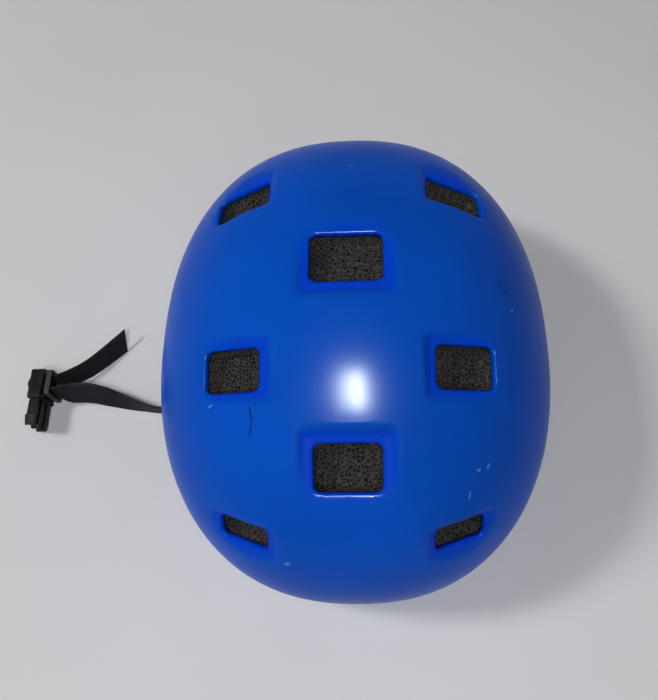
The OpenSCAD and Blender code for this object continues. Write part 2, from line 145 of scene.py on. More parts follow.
def dome_grid(rings, skirt, off, low):
    """Points, four-sided faces, the last ring's point numbers, and how many points the square part of
    the grid has each way. low(y) is the rim."""
    span = np.arange(-rings, rings + 1)
    i, j = (g.astype(float) for g in np.meshgrid(span, span, indexing="ij"))
    major = np.maximum(abs(i), abs(j))
    wide = abs(i) >= abs(j)
    with np.errstate(divide="ignore", invalid="ignore"):
        turn = np.where(wide, math.pi / 4 * j / i + math.pi * (i < 0),
                        math.pi / 2 - math.pi / 4 * i / j + math.pi * (j < 0))
    turn = np.nan_to_num(turn)
    up = math.pi / 2 * (1 - major / rings)
    share = np.clip(np.cos(up), 0, None) ** (2 / RISE_N)
    r = share * reach(np.cos(turn), np.sin(turn), off)
    z = WIDEST + (HEIGHT + off - WIDEST) * np.sin(up) ** (2 / RISE_N)
    grid = np.stack([r * np.cos(turn), r * np.sin(turn), z], -1)
    points = grid.reshape(-1, 3)
    n = 2 * rings + 1
    number = np.arange(n * n).reshape(n, n)
    faces = grid_faces(number)
    edge = border(number)
    edge = edge[np.argsort(np.arctan2(points[edge, 1], points[edge, 0]))]
    rows, top = [points], points[edge]
    base = len(points)
    plan = top[:, :2] / tucked(top[:, 2:3])
    last = edge
    for step in range(1, skirt + 1):
        y = top[:, 1]
        for _ in range(3):
            height = WIDEST + (low(y) - WIDEST) * step / skirt
            y = plan[:, 1] * tucked(height)
        row = np.column_stack([plan * tucked(height)[:, None], height])
        now = base + np.arange(len(edge))
        faces = np.vstack([faces, np.column_stack([last, now, np.roll(now, -1), np.roll(last, -1)])])
        rows.append(row)
        last, base = now, base + len(edge)
    return np.vstack(rows), faces, last, n


def facing_out(points, faces):
    """Turns every face so that its normal points away from the middle of the helmet."""
    p = points[faces]
    normal = np.cross(p[:, 1] - p[:, 0], p[:, -1] - p[:, 0])
    away = p.mean(1) - MIDDLE
    return np.where((normal * away).sum(1, keepdims=True) < 0, faces[:, ::-1], faces)


# %% [markdown]
# ## Vents
# Each vent is a rounded window in a shallow dish with a flat floor, deepest towards the crown. The
# window and the dish share a small frame of their own on the dome: two directions along the surface
# and one out of it. A signed distance to the rounded outline, below zero inside it, says where
# a point is, and points near the outline are moved onto it so that the edges come out crisp.

# %% Vent table and frames
# x and y in plan, the window's size, the direction of the crown, how far the dish reaches from the
# window's middle, and how far its floor tilts down towards the crown
Vent = namedtuple("Vent", "x y width height crown left right below above tilt")
VENTS = [
    Vent(0, -82, 29.5, 21.2, 90, 22.5, 22.5, 20, 18.4, 5),
    Vent(0, 10, 33, 23.7, -90, 24, 24, 20, 20.5, 4),
    Vent(-52.6, -38.5, 28.3, 19.4, 0, 22, 21.8, 15.5, 15.5, 5.2),
    Vent(-53.8, 55.7, 30, 18.5, -45, 22, 20, 13.5, 22, 5),
    Vent(-50.2, -104.4, 25.3, 12, 75, 19, 19, 14, 10, 6),
]
WINDOW_CORNER, DISH_CORNER = 3.2, 5  # corner radii
NEAR, NEAR_DEEP = 40, 25  # how far from a vent's middle its dish can matter, along the surface and across it
ABOVE_SKIRT = WIDEST + 4  # vents lie above this height


def vent_frame(v):
    """Centre of the vent's floor and its three directions, tilted down towards the crown."""
    x, y, d = v.x, v.y, 0.2
    normal = np.array([dome_z(x - d, y) - dome_z(x + d, y), dome_z(x, y - d) - dome_z(x, y + d), 2 * d])
    normal /= np.linalg.norm(normal)
    u = np.array([1.0, 0, 0]) - normal[0] * normal
    u /= np.linalg.norm(u)
    w = np.cross(normal, u)
    centre = np.array([x, y, dome_z(x, y)]) - normal * DISH
    crown, tilt = math.radians(v.crown), math.radians(v.tilt)
    local = np.array(Quaternion((-math.sin(crown), math.cos(crown), 0), tilt).to_matrix())
    return centre, np.column_stack([u, w, normal]) @ local


def all_vents():
    """Every vent with its frame; those left of the middle come again mirrored."""
    for v in VENTS:
        centre, axes = vent_frame(v)
        yield v, centre, axes
        if v.x < 0:
            flip = np.array([-1.0, 1, 1])
            yield v, centre * flip, axes * flip[:, None]


def outline(s, t, left, right, below, above, r):
    """Signed distance to a rounded rectangle, and the direction that leads straight away from it."""
    cs, ct = (right - left) / 2, (above - below) / 2
    hs, ht = (right + left) / 2 - r, (above + below) / 2 - r
    ds, dt = abs(s - cs) - hs, abs(t - ct) - ht
    corner = np.hypot(np.clip(ds, 0, None), np.clip(dt, 0, None))
    dist = corner + np.minimum(np.maximum(ds, dt), 0) - r
    out = (ds > 0) & (dt > 0)
    gs = np.where(out, ds / np.maximum(corner, 1e-9), (ds >= dt) * 1.0) * np.sign(s - cs)
    gt = np.where(out, dt / np.maximum(corner, 1e-9), (ds < dt) * 1.0) * np.sign(t - ct)
    return dist, gs, gt


def near_vent(q):
    return (abs(q[:, 0]) < NEAR) & (abs(q[:, 1]) < NEAR) & (abs(q[:, 2]) < NEAR_DEEP)


def snap(points, n, centre, axes, shape, off, low_line, high_line):
    """Moves the last point before an outline and the first one past it onto two lines beside it, so
    that every row of the grid crosses the outline with one point on each line."""
    q = (points[:n * n] - centre) @ axes
    inside = outline(q[:, 0], q[:, 1], *shape)[0] <= (low_line + high_line) / 2
    square = inside.reshape(n, n)
    crossed = np.zeros((n, n), bool)
    for axis in (0, 1):
        for way in (-1, 1):
            crossed |= np.roll(square, way, axis) != square
    level = np.where(inside, low_line, high_line)
    pick = np.flatnonzero(crossed.reshape(-1) & near_vent(q) & (points[:n * n, 2] > ABOVE_SKIRT))
    for _ in range(6):
        q = (points[pick] - centre) @ axes
        dist, gs, gt = outline(q[:, 0], q[:, 1], *shape)
        move = (level[pick] - dist)[:, None] * (gs[:, None] * axes[:, 0] + gt[:, None] * axes[:, 1])
        points[pick] += move
        points[pick, 2] = dome_z(points[pick, 0], points[pick, 1], off)
    return points


print(sum(1 for _ in all_vents()), "vents")

# %% [markdown]
# ## From points to a mesh
# One helper makes every mesh: it scales millimetres to metres, shades the faces smooth and gives the
# piece its finish. Weighted normals keep large faces flat up to a narrow edge face, which then reads
# as a rounded moulded edge.

# %% Mesh helpers


def add_mesh(name, points, faces, material, body="helmet", weighted=False):
    mesh = bpy.data.meshes.new(name)
    mesh.from_pydata((np.asarray(points, float) * MM).tolist(), [], [list(map(int, f)) for f in faces])
    mesh.validate()
    mesh.polygons.foreach_set("use_smooth", [True] * len(mesh.polygons))
    mesh.materials.append(material)
    piece = bpy.data.objects.new(name, mesh)
    bpy.context.collection.objects.link(piece)
    if weighted:
        piece.modifiers.new("soft edges", "WEIGHTED_NORMAL").weight = 60
    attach(piece, body)
    print(f"{name}: {len(mesh.vertices)} points, {len(mesh.polygons)} faces")
    return piece


def point_normals(points, faces):
    p = points[faces]
    if faces.shape[1] == 4:
        flat = np.cross(p[:, 2] - p[:, 0], p[:, 3] - p[:, 1])
    else:
        flat = np.cross(p[:, 1] - p[:, 0], p[:, 2] - p[:, 0])
    total = np.zeros_like(points)
    for k in range(faces.shape[1]):
        np.add.at(total, faces[:, k], flat)
    return total / np.maximum(np.linalg.norm(total, axis=1, keepdims=True), 1e-12)


def open_edges(faces):
    """Directed edges that only one face uses, which bound the holes and the rim."""
    n = faces.shape[1]
    edges = np.vstack([faces[:, [k, (k + 1) % n]] for k in range(n)])
    edges = edges[edges[:, 0] != edges[:, 1]]
    key = edges.min(1) * (faces.max() + 1) + edges.max(1)
    _, first, count = np.unique(key, return_index=True, return_counts=True)
    return edges[first[count == 1]]


# %% [markdown]
# ## Finishes
# Every finish is built from nodes. One helper starts a material, with its plain values set on the
# shader itself, and others add a pattern, a colour ramp, a mix of colours or a fine relief.

# %% Material helpers


def finish(name, colour, roughness, metallic=0.0, **sockets):
    material = bpy.data.materials.new(name)
    material.use_nodes = True
    shader = material.node_tree.nodes["Principled BSDF"]
    shader.inputs["Base Color"].default_value = (*colour, 1)
    shader.inputs["Roughness"].default_value = roughness
    shader.inputs["Metallic"].default_value = metallic
    for key, value in sockets.items():
        shader.inputs[key.replace("_", " ")].default_value = value
    return material


def node(material, kind, **values):
    made = material.node_tree.nodes.new(kind)
    for key, value in values.items():
        if hasattr(made, key):
            setattr(made, key, value)
        else:
            made.inputs[key.replace("_", " ")].default_value = value
    return made


def link(material, a, b):
    material.node_tree.links.new(a, b)


def place(material):
    """The piece's own coordinates, in metres."""
    return node(material, "ShaderNodeTexCoord").outputs["Object"]


def pattern(material, kind, at, **values):
    """A texture node of this kind, laid out by the coordinates at."""
    made = node(material, kind, **values)
    link(material, at, made.inputs["Vector"])
    return made


def mixed(material, share, first, second):
    """The first colour, with a share of the fixed second colour mixed in."""
    made = node(material, "ShaderNodeMix", data_type="RGBA")
    link(material, share, made.inputs[0])
    link(material, first, made.inputs[6])
    made.inputs[7].default_value = (*second, 1)
    return made.outputs[2]


def grey(value):
    return (value,) * 3


def ramp(material, source, stops):
    """A colour ramp over source. Its stops are pairs of a place and a colour."""
    made = node(material, "ShaderNodeValToRGB")
    while len(made.color_ramp.elements) < len(stops):
        made.color_ramp.elements.new(0.5)
    for element, (at, colour) in zip(made.color_ramp.elements, stops):
        element.position = at
        element.color = (*colour, 1)
    link(material, source, made.inputs["Fac"])
    return made.outputs["Color"]


def bump(material, source, strength, distance):
    """Adds relief from source to any relief that the material has."""
    made = node(material, "ShaderNodeBump")
    made.inputs["Strength"].default_value = strength
    made.inputs["Distance"].default_value = distance
    link(material, source, made.inputs["Height"])
    old = material.node_tree.nodes["Principled BSDF"].inputs["Normal"]
    if old.links:
        link(material, old.links[0].from_socket, made.inputs["Normal"])
    link(material, made.outputs["Normal"], old)


def base(material):
    return material.node_tree.nodes["Principled BSDF"].inputs["Base Color"]


def rough(material):
    return material.node_tree.nodes["Principled BSDF"].inputs["Roughness"]


# %% [markdown]
# ## Shell plastic
# The shell is vacuum-formed, semi-gloss blue plastic. Its colour runs a little darker and lighter in
# broad clouds, the gloss is broken by fine handling scratches, and a few small dark scuffs and pale
# nicks sit where it has been knocked.

# %% Shell finish
SHELL_BLUE = (0.0008, 0.068, 0.46)
DEEP_BLUE, LIGHT_BLUE = (0.0006, 0.062, 0.42), (0.0012, 0.075, 0.50)
# Painted reflection: the dish floors get a purer, brighter blue than the dome. It stands in for the greyish
# reflected haze that the dome shows and the floors do not.
DISH_PAINTED_CLEAR_BLUE = (0.0002, 0.047, 0.53)
SCUFF_TONE, NICK_TONE = (0.004, 0.012, 0.05), (0.13, 0.24, 0.55)
# x and y in plan, half-length, half-width (all in mm) and turn (degrees) of each mark
SCUFFS = [(-20.4, 85.5, 6, 0.5, 15), (73, 3, 8, 0.6, -55), (-41.5, -58.5, 5, 0.7, 100),
          (-41.8, -65, 4, 0.6, 80)]
NICKS = [(-29, -116, 2.0, 0.8, 5), (60.5, -77, 1.8, 0.6, 60), (56, -79, 1.6, 0.6, 30), (76, -6, 1.4, 0.5, 20),
         (-61.5, -52, 1.6, 0.6, 20), (52, -89, 2.4, 0.5, 80), (2, 68, 1.6, 0.4, 40)]
MARK_DEPTH = 6  # how far a mark reaches through the skin

shell_blue = finish("moulded blue plastic", SHELL_BLUE, 0.30, Specular_IOR_Level=0.012,
                    Coat_Weight=0.11, Coat_Roughness=0.21)
at = place(shell_blue)
clouds = pattern(shell_blue, "ShaderNodeTexNoise", at, Scale=14.0, Detail=3.0)
tone = ramp(shell_blue, clouds.outputs["Fac"], [(0.35, DEEP_BLUE), (0.65, LIGHT_BLUE)])
# The dish share mixes in the painted brighter blue on the dish floors, in place of the dome's reflected haze.
painted_dish_mask = node(shell_blue, "ShaderNodeAttribute", attribute_name="dish")
tone = mixed(shell_blue, painted_dish_mask.outputs["Fac"], tone, DISH_PAINTED_CLEAR_BLUE)
stretch = pattern(shell_blue, "ShaderNodeMapping", at, Scale=(1.0, 7.0, 3.0))
scratch = pattern(shell_blue, "ShaderNodeTexNoise", stretch.outputs["Vector"], Scale=60.0, Detail=6.0,
                  Distortion=2.5)
link(shell_blue, ramp(shell_blue, scratch.outputs["Fac"], [(0.45, grey(0.29)), (0.72, grey(0.34))]),
     rough(shell_blue))
grain = pattern(shell_blue, "ShaderNodeTexNoise", at, Scale=420.0, Detail=2.0)
bump(shell_blue, grain.outputs["Fac"], 0.02, 0.0002)
for marks, mark_tone in ((SCUFFS, SCUFF_TONE), (NICKS, NICK_TONE)):
    for x, y, long, thin, turn in marks:
        where = (x * MM, y * MM, float(dome_z(x, y)) * MM)
        size = (long * MM, thin * MM, MARK_DEPTH * MM)
        local = pattern(shell_blue, "ShaderNodeMapping", at, vector_type="TEXTURE", Location=where,
                        Rotation=(0, 0, math.radians(turn)), Scale=size)
        spot = pattern(shell_blue, "ShaderNodeTexGradient", local.outputs["Vector"],
                       gradient_type="SPHERICAL")
        share = ramp(shell_blue, spot.outputs["Fac"], [(0.05, grey(0)), (0.5, grey(0.75))])
        tone = mixed(shell_blue, share, tone, mark_tone)
link(shell_blue, tone, base(shell_blue))
print("shell marks:", len(SCUFFS) + len(NICKS))

# %% [markdown]
# ## Shell
# The outer skin is the dome grid with its dishes pressed in and its windows cut out. Each point in a
# dish drops to the flat floor, or part of the way on the rounded wall. The lip of each window is turned
# down a little. The skin is then copied inwards by the wall thickness, and the two are joined round
# every window and round the rim.

# %% Shell skin
DISH_SLOPE = 3.8  # how wide the rounded wall of a dish is
LIP = 1.2  # width of a window's turned-down lip, and of the edge of a pocket in the foam
LIP_DROP = 0.5  # how far a lip is turned down
FULL_PAINTED_TONE = 1.2  # a dish this deep gets the painted brighter blue in full
ROUNDING = 0.06  # softens the line where a dish's floor runs out into the dome
ON_EDGE = 0.02  # points this near a window's outline lie on it
SHELL_RINGS, SHELL_SKIRT = 106, 6
SPARE = 0.1  # kept off the wall's thickness, so that its inner side stays clear of the liner


def window_shape(v, grow):
    """The window's reach to each side and its corner radius, as outline() takes them."""
    return [v.width / 2 + grow] * 2 + [v.height / 2 + grow] * 2 + [WINDOW_CORNER]


def dish_shape(v, grow):
    return [reach + grow for reach in (v.left, v.right, v.below, v.above)] + [DISH_CORNER + grow]


def pressed(points, n, grow, sink, off, hole_grow=0.0, pocket=0.0):
    """Presses the dishes into the points of a skin that was moved out by off. For a skin inside the
    shell, grow widens the dishes and sink lowers them to match. Also gives which points lie on a
    window's edge (1) or in it (2), that window's direction, and each point's share of a dish's depth."""
    where, painted_dish_share = np.zeros(len(points)), np.zeros(len(points))
    window = np.zeros((len(points), 3))
    for v, centre, axes in all_vents():
        hole = window_shape(v, hole_grow)
        low_line, high_line = (-LIP, 0) if pocket else (0, LIP)
        points = snap(points, n, centre, axes, hole, off, low_line, high_line)
        q = (points - centre) @ axes
        here = near_vent(q) & (points[:, 2] > ABOVE_SKIRT)
        part = np.clip(-outline(q[:, 0], q[:, 1], *dish_shape(v, grow))[0] / DISH_SLOPE, 0, 1)
        part = np.where(here, part**2 * (3 - 2 * part), 0)
        height = q[:, 2] + sink
        drop = part * 0.5 * (height + np.sqrt(height**2 + ROUNDING))
        # each point's share of the painted brighter blue of the dish floors
        painted_dish_share = np.maximum(painted_dish_share, part * np.clip(drop / FULL_PAINTED_TONE, 0, 1))
        edge = outline(q[:, 0], q[:, 1], *hole)[0]
        if pocket:
            drop += here * pocket * np.clip(-edge / LIP, 0, 1)
        else:
            drop += here * LIP_DROP * np.clip(1 - edge / LIP, 0, 1) ** 2
            on_edge = here & (abs(edge) <= ON_EDGE)
            where[on_edge], where[here & (edge < -ON_EDGE)] = 1, 2
            window[on_edge] = axes[:, 2]
        points = points - drop[:, None] * axes[:, 2]
    return points, where, window, painted_dish_share


def split_faces(points, faces, where):
    """Cuts each face along the window's edge that crosses it, or else along its shorter diagonal, then
    drops what is inside a window."""
    q = where[faces]
    corner = points[faces]
    first, second = (np.linalg.norm(corner[:, k] - corner[:, k + 2], axis=1) for k in (0, 1))
    on_first, on_second = ((q[:, k] == 1) & (q[:, k + 2] == 1) for k in (0, 1))
    other = on_second | ((second < first) & ~on_first)
    a = np.where(other[:, None], faces[:, [0, 1, 3]], faces[:, [0, 1, 2]])
    b = np.where(other[:, None], faces[:, [1, 2, 3]], faces[:, [0, 2, 3]])
    both = np.vstack([a, b])
    middle = points[both].mean(1)
    inside = where[both].max(1) == 2
    for v, centre, axes in all_vents():
        q = (middle - centre) @ axes
        inside |= near_vent(q) & (outline(q[:, 0], q[:, 1], *window_shape(v, 0))[0] < 0)
    return both[~inside]


def thickened(points, faces, inner, loops):
    """Closes an outer skin with its inner copy: the inner faces are turned over and the rims joined."""
    n = len(points)
    walls = np.column_stack([loops[:, 1], loops[:, 0], loops[:, 0] + n, loops[:, 1] + n])
    both = [list(f) for f in faces] + [list(f[::-1] + n) for f in faces] + [list(f) for f in walls]
    return np.vstack([points, inner]), both


def compact(points, faces, *more):
    """Drops the points that no face uses, from the points and from every list beside them."""
    used = np.unique(faces)
    number = np.full(len(points), -1)
    number[used] = np.arange(len(used))
    return (points[used], number[faces], *(m[used] for m in more))


def shell_edge(y):
    return rim_z(y) + TRIM_H


points, faces, last, n = dome_grid(SHELL_RINGS, SHELL_SKIRT, 0.0, shell_edge)
faces = facing_out(points, faces)
is_rim = np.zeros(len(points), bool)
is_rim[last] = True
points, where, window, painted_dish_share = pressed(points, n, 0.0, 0.0, 0.0)
faces = split_faces(points, faces, where)
points, faces, window, is_rim, painted_dish_share = compact(points, faces, window, is_rim, painted_dish_share)
normals = point_normals(points, faces)
on_window = np.linalg.norm(window, axis=1) > 0.5
normals[on_window] = window[on_window]
level_out = points * [1, 1, 0]
normals[is_rim] = (level_out / np.linalg.norm(level_out, axis=1, keepdims=True))[is_rim]
inner = points - normals * (WALL - SPARE)
shell = add_mesh("shell", *thickened(points, faces, inner, open_edges(faces)), shell_blue, weighted=True)
# The dish attribute carries the painted brighter blue of the dish floors to the shell finish.
dish = shell.data.attributes.new("dish", "FLOAT", "POINT")
dish.data.foreach_set("value", np.concatenate([painted_dish_share, painted_dish_share]))
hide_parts("outer_shell")

# %% [markdown]
# ## Bead foam
# The liner is expanded bead foam: thousands of small beads fused in a mould, with thin pale walls
# between them where they meet. A cell pattern gives both. Its cells colour the beads, and the distance
# to the nearest cell wall draws the pale lines and rounds each bead in relief.

# %% Foam finish
BEADS = 560.0  # beads along a metre
DARK_BEAD, PALE_BEAD, BEAD_WALL = (0.003, 0.003, 0.003), (0.018, 0.016, 0.015), (0.070, 0.060, 0.054)
foam_finish = finish("charcoal bead foam", (0.02, 0.02, 0.021), 0.75, Specular_IOR_Level=0.03)
at = place(foam_finish)
beads = pattern(foam_finish, "ShaderNodeTexVoronoi", at, Scale=BEADS)
walls = pattern(foam_finish, "ShaderNodeTexVoronoi", at, feature="DISTANCE_TO_EDGE", Scale=BEADS)
split = node(foam_finish, "ShaderNodeSeparateColor")
link(foam_finish, beads.outputs["Color"], split.inputs["Color"])
bead_tone = ramp(foam_finish, split.outputs[0], [(0.1, DARK_BEAD), (0.9, PALE_BEAD)])
seam = ramp(foam_finish, walls.outputs["Distance"], [(0.0, grey(1)), (0.14, grey(0))])
link(foam_finish, mixed(foam_finish, seam, bead_tone, BEAD_WALL), base(foam_finish))
bump(foam_finish, walls.outputs["Distance"], 0.5, 0.0006)
print("foam beads along a metre", BEADS)

# %% [markdown]
# ## Foam liner
# The liner is the same grid moved inwards, with the same dishes and a blind pocket under each window.
# A second grid is the hollow for the head. Both have as many points round the rim, so one strip of
# faces joins them. Four channels let the straps through, and the hollow is set back behind the dial.

# %% Liner mesh
LINER_RINGS, LINER_SKIRT = 84, 8
POCKET_GROW = 0.8  # a pocket is this much wider than its window
RIVET_Y = (-36, 46)
CHANNEL_HALF, CHANNEL_SIDE = 9.5, 1.6  # half-width of a strap's channel, and how wide its side wall is
CHANNEL_TOP, CHANNEL_END, CHANNEL_DEPTH = 47.5, 2.5, 5.15
DIAL_ROOM_HALF, DIAL_ROOM_TOP, DIAL_ROOM_Y = 17, 38, HALF_L - 16.9
points, faces, last, n = dome_grid(LINER_RINGS, LINER_SKIRT, LINER_OFF, shell_edge)
faces = facing_out(points, faces)
points = pressed(points, n, -LINER_OFF, -LINER_OFF, LINER_OFF, POCKET_GROW, POCKET)[0]
out = point_normals(points, faces)
for y in RIVET_Y:
    channel = np.clip((CHANNEL_HALF - abs(points[:, 1] - y)) / CHANNEL_SIDE, 0, 1)
    channel *= np.clip((CHANNEL_TOP - points[:, 2]) / CHANNEL_END, 0, 1)
    points -= out * [1, 1, 0] * (CHANNEL_DEPTH * channel)[:, None]
hollow, hollow_faces, hollow_last, _ = dome_grid(LINER_RINGS, LINER_SKIRT, CAVITY_OFF, shell_edge)
behind_dial = (abs(hollow[:, 0]) < DIAL_ROOM_HALF) & (hollow[:, 2] < DIAL_ROOM_TOP) & (hollow[:, 1] > 0)
hollow[behind_dial, 1] = np.maximum(hollow[behind_dial, 1], DIAL_ROOM_Y)
count = len(points)
rim = np.column_stack([last, np.roll(last, -1), np.roll(hollow_last, -1) + count, hollow_last + count])
liner = add_mesh("bead_foam_liner", np.vstack([points, hollow]),
                 np.vstack([faces, facing_out(hollow, hollow_faces)[:, ::-1] + count, rim]), foam_finish)
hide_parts("foam_liner")

# %% [markdown]
# ## Moulded plastics, rubber and steel
# Small moulded parts share one recipe: a base colour that drifts slightly, a fine spark-eroded grain
# from the mould, and uneven gloss. Metal takes it with a metallic shader and less grain.

# %% Plastic, rubber and steel finishes


def moulded(name, colour, roughness, grain=0.12, metallic=0.0):
    made = finish(name, colour, roughness, metallic, Specular_IOR_Level=0.5 if metallic else 0.2)
    at = place(made)
    darker, lighter = (tuple(share * c for c in colour) for share in (0.8, 1.25))
    drift = pattern(made, "ShaderNodeTexNoise", at, Scale=55.0, Detail=4.0)
    link(made, ramp(made, drift.outputs["Fac"], [(0.3, darker), (0.7, lighter)]), base(made))
    wear = pattern(made, "ShaderNodeTexNoise", at, Scale=160.0, Detail=6.0)
    gloss = [(0.35, grey(0.8 * roughness)), (0.7, grey(1.2 * roughness))]
    link(made, ramp(made, wear.outputs["Fac"], gloss), rough(made))
    fine = pattern(made, "ShaderNodeTexNoise", at, Scale=1900.0, Detail=2.0)
    bump(made, fine.outputs["Fac"], grain, 0.0002)
    return made


acetal = moulded("black acetal", (0.007, 0.007, 0.008), 0.40)
dial_nylon = moulded("dark grey nylon", (0.030, 0.030, 0.034), 0.45)
pale_nylon = moulded("natural nylon", (0.55, 0.55, 0.52), 0.40)
band_black = moulded("black flexible band", (0.018, 0.018, 0.020), 0.42)
trim_black = moulded("satin black trim", (0.012, 0.012, 0.014), 0.48)
keeper_grey = moulded("soft grey ring", (0.030, 0.030, 0.034), 0.5)
steel = moulded("nickelled steel", (0.56, 0.56, 0.57), 0.26, 0.04, 1.0)
print("moulded finishes made")

# %% [markdown]
# ## Rim trim
# A soft edging hides the raw edge of the shell. It is one rounded profile carried round the rim line,
# over the arch at each ear.

# %% Rim trim mesh


def ring_faces(rings, across, closed):
    """Faces of a tube of rings, each of so many points, joined end to end if it is closed."""
    number = np.arange(rings * across).reshape(rings, across)
    here, ahead = (number, np.roll(number, -1, 0)) if closed else (number[:-1], number[1:])
    return np.stack([here, np.roll(here, -1, 1), np.roll(ahead, -1, 1), ahead], -1).reshape(-1, 4)


def capped_tube(rings, across, start=0):
    """Faces of a tube with closed ends, if its points begin at number start."""
    faces = ring_faces(rings, across, False)
    end = np.arange(across)
    return [(f + start).tolist() for f in (*faces, end[::-1], end + len(faces))]


RIM_STEPS = 720
OUTER, INNER, TOP = 0.7, -2.3, 1.9  # the profile's sides, measured from the shell's outer face, and its top
R = 0.62  # its corner radius
turn = np.linspace(0, 2 * math.pi, RIM_STEPS, endpoint=False)
corners = [(OUTER - R, TOP - R, 0), (INNER + R, TOP - R, 90), (INNER + R, R, 180), (OUTER - R, R, 270)]
profile = [(cx + R * math.cos(math.radians(a + k * 30)), cz + R * math.sin(math.radians(a + k * 30)))
           for cx, cz, a in corners for k in range(4)]


def rim_plan(off):
    c, s = np.cos(turn), np.sin(turn)
    return np.stack([c, s], -1) * reach(c, s, off)[:, None]


rows = []
for off, up in profile:
    y = rim_plan(0.0)[:, 1]
    for _ in range(3):
        height = rim_z(y) + up
        y = rim_plan(0.0)[:, 1] * tucked(height)
    rows.append(np.column_stack([rim_plan(off) * tucked(height)[:, None], height]))
trim = add_mesh("edge_trim", np.stack(rows, 1).reshape(-1, 3), ring_faces(RIM_STEPS, len(profile), True),
                trim_black)
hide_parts("rim_trim")

# %% [markdown]
# ## Knit for the pads
# Fit pads are soft foam in a brushed knit cover. Two crossed sets of fine waves give the knit's rows and
# columns, a noise makes the nap uneven, and sheen lights the pile at glancing angles.

# %% Knit and hook tape finishes
knit = finish("brushed knit", (0.03, 0.03, 0.033), 0.85, Sheen_Weight=0.35, Sheen_Roughness=0.4,
              Specular_IOR_Level=0.2)
at = place(knit)
rows = pattern(knit, "ShaderNodeTexWave", at, Scale=420.0, Distortion=0.6)
columns = pattern(knit, "ShaderNodeTexWave", at, bands_direction="Z", Scale=420.0, Distortion=0.6)
nap = pattern(knit, "ShaderNodeTexNoise", at, Scale=900.0, Detail=4.0)
loops = node(knit, "ShaderNodeMath", operation="MULTIPLY")
link(knit, rows.outputs["Fac"], loops.inputs[0])
link(knit, columns.outputs["Fac"], loops.inputs[1])
pile = ramp(knit, nap.outputs["Fac"], [(0.3, (0.016, 0.016, 0.018)), (0.7, (0.055, 0.055, 0.06))])
link(knit, pile, base(knit))
bump(knit, loops.outputs[0], 0.35, 0.0004)
bump(knit, nap.outputs["Fac"], 0.3, 0.0003)
hook_tape = finish("hook tape", (0.05, 0.05, 0.055), 0.7)
at = place(hook_tape)
hooks = pattern(hook_tape, "ShaderNodeTexVoronoi", at, Scale=1100.0)
hook_tone = ramp(hook_tape, hooks.outputs["Distance"], [(0.1, grey(0.11)), (0.6, grey(0.03))])
link(hook_tape, hook_tone, base(hook_tape))
bump(hook_tape, hooks.outputs["Distance"], 0.8, 0.0006)
print("fabric finishes made")

# %% [markdown]
# ## Fit pads
# Each pad is a thin cushion on the hollow's wall. A square grid is laid on the surface twice, once for
# the cover that meets the liner and once for the cover that meets the head. The head side has a hem, a
# stitched seam just inside it and sewn channels, and swells between them. The corners are rounded and
# the sides pull in a little between them, as stuffed covers do. No simulation is needed at 7 mm thick.

# %% Pad helper
PAD_CELL = 1.1  # size of the grid's squares
PULL_IN = 0.9  # how far the middle of a side is drawn in
HEM, HEM_W = 1.15, 1.3  # how much the hem rises, and how wide it is
HEM_MIDDLE, HEM_UNDER = 0.75, 0.7  # height of its middle above the wall, and how far its underside drops
HEM_TOP = 2.1  # the swell is added above this
SEAM_AT, SEAM_DEPTH = 2.6, 0.55  # the stitched seam: its distance from the edge, and its depth and width
SWELL_W = 9.0  # how wide the rounded shoulder inside the seam is
CHANNEL_FLOOR, CHANNEL_W, CHANNEL_SHARE = 1.5, 1.5, 0.62
STITCH, STITCH_W, STITCH_STEP = 0.16, 0.4, 2.6


def shoulder(across):
    """A quarter-round rise from 0 to 1."""
    return np.sqrt(1 - (1 - np.clip(across, 0, 1)) ** 2)


def cushion(name, replaced, on_wall, half_u, half_v, full, channels=(), corner=4.0):
    """on_wall(u, v, depth) is a point on the wall, depth millimetres towards the head."""
    nu, nv = int(half_u * 2 / PAD_CELL), int(half_v * 2 / PAD_CELL)
    s, t = np.meshgrid(np.linspace(-1, 1, nu), np.linspace(-1, 1, nv), indexing="ij")
    pull = corner * (abs(s) * abs(t)) ** 8
    u = half_u * s - np.sign(s) * (pull + PULL_IN * (1 - t**2) * abs(s) ** 3)
    v = half_v * t - np.sign(t) * (pull + PULL_IN * (1 - s**2) * abs(t) ** 3)
    rim = np.minimum(half_u * (1 - abs(s)), half_v * (1 - abs(t)))
    swell, hem = shoulder((rim - SEAM_AT) / SWELL_W), shoulder(rim / HEM_W)
    rise = HEM_MIDDLE + HEM * hem + (full - HEM_TOP) * swell
    rise -= SEAM_DEPTH * np.exp(-((rim - SEAM_AT) / SEAM_DEPTH) ** 2)
    for middle in channels:
        groove = np.exp(-((u - middle) / CHANNEL_W) ** 2) * np.clip(swell * 3, 0, 1)
        rise -= (rise - CHANNEL_FLOOR) * CHANNEL_SHARE * groove
    stitches = STITCH * np.cos(2 * math.pi * (u + v) / STITCH_STEP)
    rise += stitches * np.exp(-((rim - SEAM_AT) / STITCH_W) ** 2)
    head = on_wall(u, v, np.minimum(rise, full))
    wall = on_wall(u, v, HEM_MIDDLE - HEM_UNDER * hem)
    number = np.arange(nu * nv).reshape(nu, nv)
    quads = grid_faces(number)
    edge = border(number)
    ahead = np.roll(edge, -1)
    points = np.vstack([head.reshape(-1, 3), wall.reshape(-1, 3)])
    count = nu * nv
    sides = np.column_stack([edge, edge + count, ahead + count, ahead])
    faces = np.vstack([quads, quads[:, ::-1] + count, sides])
    middle = head.reshape(-1, 3).mean(0) - wall.reshape(-1, 3).mean(0)
    one = points[quads[len(quads) // 2]]
    if np.dot(np.cross(one[1] - one[0], one[3] - one[0]), middle) < 0:
        faces = faces[:, ::-1]
    pad = add_mesh(name, points, faces, knit)
    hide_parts(replaced)
    return pad


# %% [markdown]
# ## The five pads
# The brow and side pads lie on the upright wall, the crown pad under the top of the hollow, and the
# nape pad on the arc of the fit cradle. Each wall has its own rule for a point on it.

